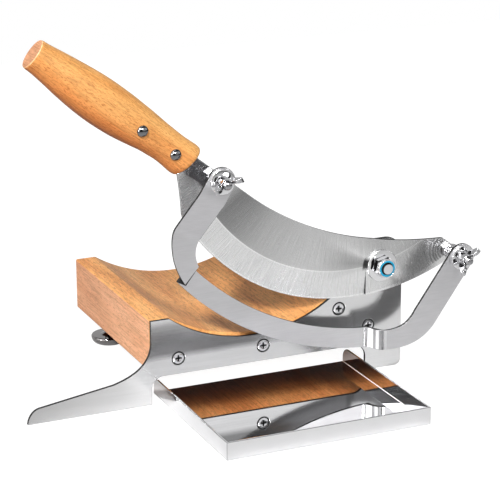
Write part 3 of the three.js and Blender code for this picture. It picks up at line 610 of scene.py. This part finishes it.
def smooth_width(t, side):
    """How far the handle reaches on one side at a distance along it, on a smooth curve through its sizes."""
    knots = [(knot[0], knot[side]) for knot in GRIP_WIDTHS]
    for i in range(len(knots) - 1):
        if t <= knots[i + 1][0]:
            break
    p0, p1, p2, p3 = knots[max(i - 1, 0)], knots[i], knots[i + 1], knots[min(i + 2, len(knots) - 1)]
    gap = p2[0] - p1[0]
    u = max(0.0, min(1.0, (t - p1[0]) / gap))
    m1 = (p2[1] - p0[1]) / (p2[0] - p0[0]) * gap
    m2 = (p3[1] - p1[1]) / (p3[0] - p1[0]) * gap
    return ((2 * u ** 3 - 3 * u ** 2 + 1) * p1[1] + (u ** 3 - 2 * u ** 2 + u) * m1
            + (3 * u ** 2 - 2 * u ** 3) * p2[1] + (u ** 3 - u ** 2) * m2)


def build_handle():
    """Oval rings along the grip, domed at the front and with a small round on the flat butt."""
    around = 64
    start, end = GRIP_WIDTHS[0][0], GRIP_WIDTHS[-1][0]
    stations = [start + (end - start) * i / 70 for i in range(71)]
    stations += [start + 0.25, start + 0.5, start + 1.2, end - 0.5]
    bm = bmesh.new()
    rings = []
    for t in sorted(stations):
        above, below = smooth_width(t, 1), smooth_width(t, 2)
        slant = FRONT_SLANT * max(0.0, 1 - (t - start) / SLANT_LENGTH)
        ring = []
        for k in range(around):
            a = 2 * math.pi * k / around
            w = (above if math.cos(a) > 0 else below) * math.cos(a)
            out = GRIP_AXIS * (t - slant * w) + GRIP_ACROSS * w
            depth = Vector((0, (above + below) / 2 * GRIP_DEPTH * math.sin(a), 0))
            ring.append(bm.verts.new(GRIP_FRONT + (out + depth) * MM))
        rings.append(ring)
    join_rings(bm, rings)
    bm.faces.new(rings[0])
    bm.faces.new(rings[-1][::-1])
    rim = [e for e in bm.edges if len(e.link_faces) == 2 and any(len(f.verts) > 4 for f in e.link_faces)]
    bevelled(bm, rim, 0.7, 3, True)
    grip = place("visual_handle", finished(bm, "handle", 50), "blade", "wood", "grip", ("handle",))
    add_looks(grip, "grip_end", "grip_rim")
    # The butt's rounded rim takes the painted highlight.
    for face in grip.data.polygons:
        facing = face.normal.dot(GRIP_AXIS)
        if facing > 0.35:
            face.material_index = 1 if facing > 0.95 else 2


def build_rivets():
    """Two rivets right through the handle, domed at both ends."""
    for i in (1, 2):
        name = f"handle_rivet_{i}"
        low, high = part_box(name)
        front, back = low.y / MM, high.y / MM
        domes = [(r, front + d) for r, d in RIVET_DOME] + [(r, back - d) for r, d in reversed(RIVET_DOME)]
        turned("visual_" + name, rounded(millimetres(domes), 0.5 * MM), axis_of(name), "blade", "fastener",
               "rivet", (name,))


# ---- sheet metal ----
def build_arm():
    """The left arm, with a broad chamfer filed along its lower end where it laps the strip."""
    bm = cad_copy("gauge_left_arm")
    at_end = [v for v in bm.verts if v.co.z < 100 * MM and (v.co - LAP_TIP).dot(LAP_DOWN) > -0.2 * MM]
    front = min(v.co.y for v in at_end) + 0.1 * MM
    tip = [e for e in bm.edges if all(v in at_end and v.co.y < front for v in e.verts)]
    bevelled(bm, tip, 1.4, 1, False)
    sharp = [e for e in bm.edges if e.is_manifold and e.calc_face_angle(0) > math.radians(50)]
    bevelled(bm, sharp, 0.22, 2, False)
    made = place("visual_gauge_left_arm", finished(bm, "gauge_left_arm", 30), "gauge", "satin", "satin",
                 ("gauge_left_arm",))
    even_normals(made)
    mark_cut_edges(made)
    # The lap chamfer takes the dark edge look: painted shade along the arm's lower end.
    for face in made.data.polygons:
        if face.normal.dot(LAP_DOWN) > 0.4:
            face.material_index = 1


def paint_lap_shadow(strip):
    """Paints shadow on the strip under its lap with the arm, where it shows past the arm's edge."""
    bm = bmesh.new()
    bm.from_mesh(strip.data)
    for way in (LAP_RISE, LAP_DOWN):
        everything = bm.verts[:] + bm.edges[:] + bm.faces[:]
        bmesh.ops.bisect_plane(bm, geom=everything, plane_co=LAP_TIP, plane_no=way)
    for face in bm.faces:
        out = face.calc_center_median() - LAP_TIP
        if out.dot(LAP_RISE) > 0 and out.dot(LAP_DOWN) < 0:
            face.material_index = 1
    bm.to_mesh(strip.data)
    bm.free()


def build_screw(name):
    """A countersunk head: a bright face, with painted shade on its rim and down its cross recess, which
    tapers to a dark floor.
    """
    bm = cad_copy(name)
    at = axis_of(name)
    face_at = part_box(name)[0].y
    rim = [e for e in bm.edges
           if all(abs((Vector((v.co.x, 0, v.co.z)) - at).length - SCREW_HEAD_RADIUS * MM) < 0.1 * MM
                  and v.co.y < face_at + 0.05 * MM for v in e.verts)]
    bevelled(bm, rim, 0.75, 3, True)
    lip = [e for e in bm.edges if e.is_manifold and e.calc_face_angle(0) > 1.0
           and all(v.co.y < face_at + 0.05 * MM for v in e.verts)]
    bevelled(bm, lip, 0.12, 2, True)
    screw = place("visual_" + name, finished(bm, name, 30), "base", "fastener", "chrome", (name,))
    add_looks(screw, "recess")
    # The rim and the recess take painted shade.
    for face in screw.data.polygons:
        deep = face.center.y > face_at + 0.16 * MM
        slanted = face.normal.y > -0.9
        face.material_index = int(deep or slanted)


def build_sheets():
    """The plate, blade, gauge and tray, with the plate's screws and the forged tang."""
    # On the plate every face but its front and back takes this look, so its rounded rims get painted shade
    # too.
    mark_cut_edges(refined("front_plate", "base", "plate", "plate", 0.22, segments=2), 0.97)
    mark_cut_edges(refined("blade", "blade", "blade", "blade", 0.2, segments=2, smooth=4.2))
    strip = refined("gauge_strip", "gauge", "satin", "satin", 0.25, segments=2, smooth=30)
    mark_cut_edges(strip)
    paint_lap_shadow(strip)
    add_looks(strip, "step", "scale")
    for face in strip.data.polygons:
        # The step's faces take the painted reflection bands.
        if abs(face.normal.z) < 0.3 and 72 * MM < face.center.x < 84 * MM:
            face.material_index = 2
        # The strip's back takes painted shade.
        if face.normal.y > 0.3:
            face.material_index = 3
    build_arm()
    tray = refined("catch_tray", "tray", "mirror", "mirror", 0.35, segments=3)
    add_looks(tray, "fold", "fold_highlight")
    # The tray's folds take painted shade, and its inner folds along the floor a painted highlight.
    for face in tray.data.polygons:
        if max(abs(c) for c in face.normal) < FLAT_NORMAL and face.area < FOLD_AREA:
            inside = face.normal.z > 0.1 and 0.3 * MM < face.center.z < 1.7 * MM
            face.material_index = 2 if inside else 1
    for i in (1, 2, 3, 4):
        build_screw(f"plate_screw_{i}")
    cast("blade_tang", "blade", "dark", "forged", 0.3, 5)


# ---- fasteners ----
def ring_piece(name, body, slot, look, inner, outer, edge=0.3):
    """A washer as thick as its CAD node, with rounded rims. Radii in millimetres."""
    low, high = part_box(name)
    profile = [(inner, low.y / MM), (outer, low.y / MM), (outer, high.y / MM), (inner, high.y / MM)]
    profile = rounded(millimetres(profile), edge * MM)
    turned("visual_" + name, profile, axis_of(name), body, slot, look, (name,))


def hex_nut(at, front, back, flats, bore, chamfer=0.8, turn=0.0):
    """A chamfered hexagon nut about Y. Half its width across flats, and its bore's radius, in millimetres."""
    bm = bmesh.new()
    around = 96
    corner = flats / math.cos(math.pi / 6)
    rings = []
    crown = flats * 0.97  # radius of the flat ring on each end
    for y, r_limit in ((front, None), (front, crown), (front, "out"), (back, "out"), (back, crown),
                       (back, None)):
        ring = []
        for k in range(around):
            a = 2 * math.pi * k / around
            hexagon = flats / math.cos((a + math.pi / 6) % (math.pi / 3) - math.pi / 6)
            r, h = bore, y
            if r_limit == "out":
                r = hexagon
                drop = (hexagon - crown) / (corner - crown) * chamfer
                h = y + drop if y == front else y - drop
            elif r_limit:
                r = r_limit
            ring.append(bm.verts.new(at + Vector((r * math.cos(a + turn), h, r * math.sin(a + turn))) * MM))
        rings.append(ring)
    join_rings(bm, rings + rings[:1])
    return bm


def threaded(at, radius, front, back, depth, point=0.5, bevel=1.1):
    """A rod about Y with a cut thread, from its chamfered front end to its back, in millimetres."""
    bm = bmesh.new()
    around, per_turn = 32, 8
    pitch = THREAD_PITCH / MM
    count = round((back - front) / pitch * per_turn)
    rings = [[bm.verts.new(at + Vector((0, front, 0)) * MM)] * around]
    for i in range(count + 1):
        ring = []
        for k in range(around):
            y = front + (back - front) * i / count
            phase = ((y - front) / pitch - k / around) % 1
            cut = depth * (1 - abs(2 * phase - 1)) ** 0.9
            taper = max(0.0, 1 - (y - front) / point) * depth * bevel
            r = radius - max(cut, taper)
            a = 2 * math.pi * k / around
            ring.append(bm.verts.new(at + Vector((r * math.cos(a), y, r * math.sin(a))) * MM))
        rings.append(ring)
    rings.append([bm.verts.new(at + Vector((0, back, 0)) * MM)] * around)
    join_rings(bm, rings)
    return bm


def build_studs():
    """The two threaded studs, each with its nuts, washers and spring."""
    for side in ("left", "right"):
        name = f"gauge_stud_{side}"
        low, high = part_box(name)
        bm = threaded(axis_of(name), STUD_RADIUS, low.y / MM, high.y / MM, STUD_THREAD_DEPTH)
        place("visual_" + name, finished(bm, name, 60), "blade", "fastener", "stud", (name,))
        nut = f"stud_nut_{side}"
        low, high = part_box(nut)
        bm = hex_nut(axis_of(nut), low.y / MM, high.y / MM, STUD_NUT_HALF, STUD_NUT_BORE, 0.5)
        place("visual_" + nut, finished(bm, nut, 30), "blade", "fastener", "chrome", (nut,))
        ring_piece(f"spring_washer_{side}", "gauge", "fastener", "chrome", WASHER_BORE, SPRING_WASHER_RADIUS,
                   0.2)
        ring_piece(f"wing_washer_{side}", "gauge", "mirror", "mirror", WASHER_BORE, WING_WASHER_RADIUS, 0.35)
        build_wing_nut(side)
        build_spring(side)


def build_wing_nut(side):
    """The CAD wing nut as a casting, its wings swelling to thick rounded tips."""
    name = f"wing_nut_{side}"
    at = axis_of(name)
    made = cast(name, f"wing_{side}", "fastener", "plated", 0.2, 3)
    verts = made.data.vertices
    tip = max(verts, key=lambda v: math.hypot(v.co.x - at.x, v.co.z - at.z)).co - at
    out = Vector((tip.x, 0, tip.z)).normalized()
    thick = out.cross(UP_Y)
    for v in verts:
        reach = abs((v.co - at).dot(out)) / MM
        swell = max(0.0, min(1.0, (reach - 6.2) / 2.6))
        v.co += thick * (v.co - at).dot(thick) * 0.55 * swell


def build_spring(side):
    """A coiled wire between the CAD spring's two ends, built at one length; nothing here shortens or
    lengthens it as the gauge slides.
    """
    name = f"gauge_spring_{side}"
    low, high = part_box(name)
    at = axis_of(name)
    turns = COIL_TURNS[side]
    steps, sides = 28 * turns, 12
    front, back = low.y / MM + WIRE_RADIUS, high.y / MM - WIRE_RADIUS
    bm = bmesh.new()
    rings = []
    for i in range(steps + 1):
        t = i / steps
        a = 2 * math.pi * turns * t
        y = front + (back - front) * t
        out = Vector((math.cos(a), 0, math.sin(a)))
        centre = at + (out * COIL_RADIUS + Vector((0, y, 0))) * MM
        ring = []
        for k in range(sides):
            b = 2 * math.pi * k / sides
            off = out * math.cos(b) + Vector((0, math.sin(b), 0))
            ring.append(bm.verts.new(centre + off * WIRE_RADIUS * MM))
        rings.append(ring)
    join_rings(bm, rings)
    bm.faces.new(rings[0][::-1])
    bm.faces.new(rings[-1])
    made = place("visual_" + name, finished(bm, name, 60), None, "fastener", "chrome", (name,))
    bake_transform(made)


def build_pivot():
    """The pivot bolt, its washer, and its lock nut with a raised collar round a nylon ring."""
    at = axis_of("pivot_bolt")
    low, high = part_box("pivot_nut")
    front, back = low.y / MM, high.y / MM
    hexagon = hex_nut(at, front + COLLAR_HEIGHT, back, BOLT_HALF, NUT_BORE, 0.9, NUT_TURN)
    nut = place("visual_pivot_nut", finished(hexagon, "pivot_nut", 30), "base", "fastener", "chrome",
                ("pivot_nut",))
    add_looks(nut, "facet")
    # Two flanks of the nut take painted shade.
    for face in nut.data.polygons:
        flank = math.degrees(math.atan2(face.normal.z, face.normal.x))
        face.material_index = int(abs(face.normal.y) < 0.3 and (150 < flank < 180 or 30 < flank < 60)
                                  and (face.center - at).dot(face.normal) > 5 * MM)
    cup = [(NYLON_RADIUS, front + 0.1), (5.75, front), (6.2, front + 0.9), (6.2, front + 2.5),
           (NUT_BORE, front + 2.5), (NUT_BORE, front + 1.7), (NYLON_RADIUS, front + 1.7)]
    turned("visual_nut_collar", rounded(millimetres(cup), 0.35 * MM), at, "base", "fastener", "chrome")
    ring_piece("nylon_ring", "base", "nylon", "nylon", NUT_BORE, NYLON_RADIUS, 0.3)
    ring_piece("pivot_washer_front", "base", "fastener", "mirror", PIVOT_WASHER_BORE, PIVOT_WASHER_RADIUS,
               0.5)
    low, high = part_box("pivot_bolt")
    tip, end = low.y / MM, high.y / MM
    shank = threaded(at, BOLT_THREAD_RADIUS, tip, tip + BOLT_THREAD_LENGTH, 0.4, 1.2, 1.8)
    thread = place("visual_pivot_thread", finished(shank, "pivot_thread", 30), "base", "fastener", "chrome")
    add_looks(thread, "recess")
    # The thread's flanks take painted shade.
    for face in thread.data.polygons:
        face.material_index = int(face.normal.y > -0.9)
    head = hex_nut(at, end - BOLT_HEAD_HEIGHT, end, BOLT_HALF, 0.05, 0.9)
    place("visual_pivot_head", finished(head, "pivot_head", 30), "base", "fastener", "chrome",
          ("pivot_bolt",))
    start = tip + BOLT_THREAD_LENGTH - 0.1
    rod = [(0, start), (BOLT_SHANK_RADIUS, start), (BOLT_SHANK_RADIUS, end - 5), (0, end - 5)]
    turned("visual_pivot_shank", millimetres(rod), at, "base", "fastener", "chrome")


def build_feet():
    """The two domed glides under the block's back."""
    for side in ("left", "right"):
        name = f"rear_foot_{side}"
        low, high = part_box(name)
        at = Vector(((low.x + high.x) / 2, (low.y + high.y) / 2, 0))
        turned("visual_" + name, rounded(millimetres(FOOT_PROFILE), 0.4 * MM), at, "base", "mirror", "foot",
               (name,), up=Vector((0, 0, 1)), smooth=50)


def dress_plain_nodes():
    """CAD nodes that show as they are, with their own looks."""
    looks = {"foot_insert_left": "brass", "foot_insert_right": "brass", "pivot_bush": "brass",
             "pivot_washer_rear": "chrome"}
    for name, look in looks.items():
        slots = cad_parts[name].data.materials
        slots.clear()
        slots.append(LOOK[look])


# ---- stage ----
def build_floor():
    """A pale table that the eye sees as a seamless white sweep, with only faint shadows."""
    mesh = bpy.data.meshes.new("floor")
    bm = bmesh.new()
    corners = [(x, y, 0) for x, y in ((-1, -1), (1, -1), (1, 1), (-1, 1))]
    bm.faces.new([bm.verts.new(Vector(c) * FLOOR_HALF) for c in corners])
    bm.to_mesh(mesh)
    bm.free()
    floor = bpy.data.objects.new("floor", mesh)
    bpy.context.scene.collection.objects.link(floor)
    floor.location.z = -FLOOR_DROP
    made, tree, sweep = material("pale_floor", Roughness=0.9, Specular_IOR_Level=0.0)
    sweep.inputs["Base Color"].default_value = (0.14, 0.14, 0.14, 1)
    sweep.inputs["Emission Color"].default_value = (1, 1, 1, 1)
    sweep.inputs["Emission Strength"].default_value = 0.96
    spot = node(tree, "ShaderNodeTexCoord").outputs["Object"]
    reach = node(tree, "ShaderNodeVectorMath", {0: spot}, operation="LENGTH").outputs["Value"]
    paper = ramp(tree, reach, *FLOOR_TONES)
    across = node(tree, "ShaderNodeSeparateXYZ", {0: spot}).outputs["X"]
    dim = node(tree, "ShaderNodeMapRange", {"Value": across, "From Min": 0.17, "From Max": 0.23,
                                            "To Min": 1.0, "To Max": 0.85},
               interpolation_type="SMOOTHSTEP").outputs["Result"]
    paper = mixed(tree, 1.0, paper, dim, "MULTIPLY")
    rays = node(tree, "ShaderNodeLightPath").outputs
    paper = mixed(tree, rays["Is Diffuse Ray"], paper, (0.13, 0.12, 0.12, 1))
    table = node(tree, "ShaderNodeBsdfDiffuse", {"Color": paper})
    both = node(tree, "ShaderNodeMixShader", {"Fac": rays["Is Camera Ray"], 1: table.outputs[0],
                                              2: sweep.outputs[0]})
    tree.links.new(both.outputs[0], tree.nodes["Material Output"].inputs["Surface"])
    mesh.materials.append(made)


def build_world():
    """A studio: plain white to the eye, and to the steel a wall behind and softboxes above and beside it."""
    world = bpy.data.worlds.new("studio")
    bpy.context.scene.world = world
    world.use_nodes = True
    tree = world.node_tree
    tree.nodes.clear()
    way = node(tree, "ShaderNodeTexCoord").outputs["Generated"]

    def patch(direction, inner, outer, strength):
        """A soft round light, with its full and its faded radius in degrees."""
        towards = node(tree, "ShaderNodeVectorMath", {0: way, 1: Vector(direction).normalized()},
                       operation="DOT_PRODUCT")
        edge = node(tree, "ShaderNodeMapRange", {
            "Value": towards.outputs["Value"], "From Min": math.cos(math.radians(outer)),
            "From Max": math.cos(math.radians(inner)), "To Min": 0.0, "To Max": strength},
            interpolation_type="SMOOTHSTEP")
        return edge.outputs["Result"]

    patches = (
        patch((0.1, 1, 0.35), 50, 72, 0.6),  # white wall behind
        patch((0.39, -0.87, 0.34), 12, 34, 0.78),  # pale studio in front
        patch((-0.15, -0.1, 1), 15, 26, 0.75),  # overhead softbox
        patch((-1, -0.25, 0.45), 24, 40, 2.0),  # left softbox
        patch((1, -0.5, 0.35), 12, 20, 1.2),  # right softbox
    )
    total = 0.05
    for light in patches:
        total = node(tree, "ShaderNodeMath", {0: light, 1: total}, operation="ADD").outputs[0]
    rays = node(tree, "ShaderNodeLightPath").outputs
    fill = span(tree, rays["Is Diffuse Ray"], 1.5, 0.0)
    total = node(tree, "ShaderNodeMath", {0: total, 1: fill}, operation="MULTIPLY").outputs[0]
    lit = node(tree, "ShaderNodeBackground", {"Color": (1, 1, 1, 1), "Strength": total})
    seen = node(tree, "ShaderNodeBackground", {"Color": (1, 1, 1, 1), "Strength": 1.0})
    both = node(tree, "ShaderNodeMixShader", {"Fac": rays["Is Camera Ray"], 1: lit.outputs[0],
                                              2: seen.outputs[0]})
    output = node(tree, "ShaderNodeOutputWorld")
    tree.links.new(both.outputs[0], output.inputs["Surface"])


def build_lights():
    """A broad key from the upper left, a second from the front, and a low one that grazes the left side."""
    for name, way, energy, angle in (
            ("key", (-0.5, -0.6, 0.62), 3.1, 9), ("front", (0.02, -0.9, 0.43), 2.1, 10),
            ("side", (-1.0, -0.3, 0.06), 0.75, 12)):
        data = bpy.data.lights.new(name, "SUN")
        data.energy = energy
        data.angle = math.radians(angle)
        lamp = bpy.data.objects.new(name, data)
        lamp.rotation_euler = Vector(way).to_track_quat("Z", "Y").to_euler()
        bpy.context.scene.collection.objects.link(lamp)


def build_camera():
    """The photograph's own viewpoint."""
    data = bpy.data.cameras.new("camera")
    data.lens = CAMERA_LENS
    data.sensor_width = CAMERA_SENSOR
    data.clip_start = 0.05
    data.clip_end = 60
    camera = bpy.data.objects.new("camera", data)
    tilt, turn, roll = (math.radians(a) for a in CAMERA_TURN)
    aim = Matrix.Rotation(turn, 4, "Z") @ Matrix.Rotation(tilt, 4, "X") @ Matrix.Rotation(roll, 4, "Z")
    camera.matrix_world = Matrix.Translation(CAMERA_PLACE) @ aim
    bpy.context.scene.collection.objects.link(camera)
    bpy.context.scene.camera = camera


build_camera()
build_block()
build_handle()
build_rivets()
build_sheets()
build_studs()
build_pivot()
build_feet()
dress_plain_nodes()
build_floor()
build_world()
build_lights()
bpy.context.scene.view_settings.view_transform = "Standard"
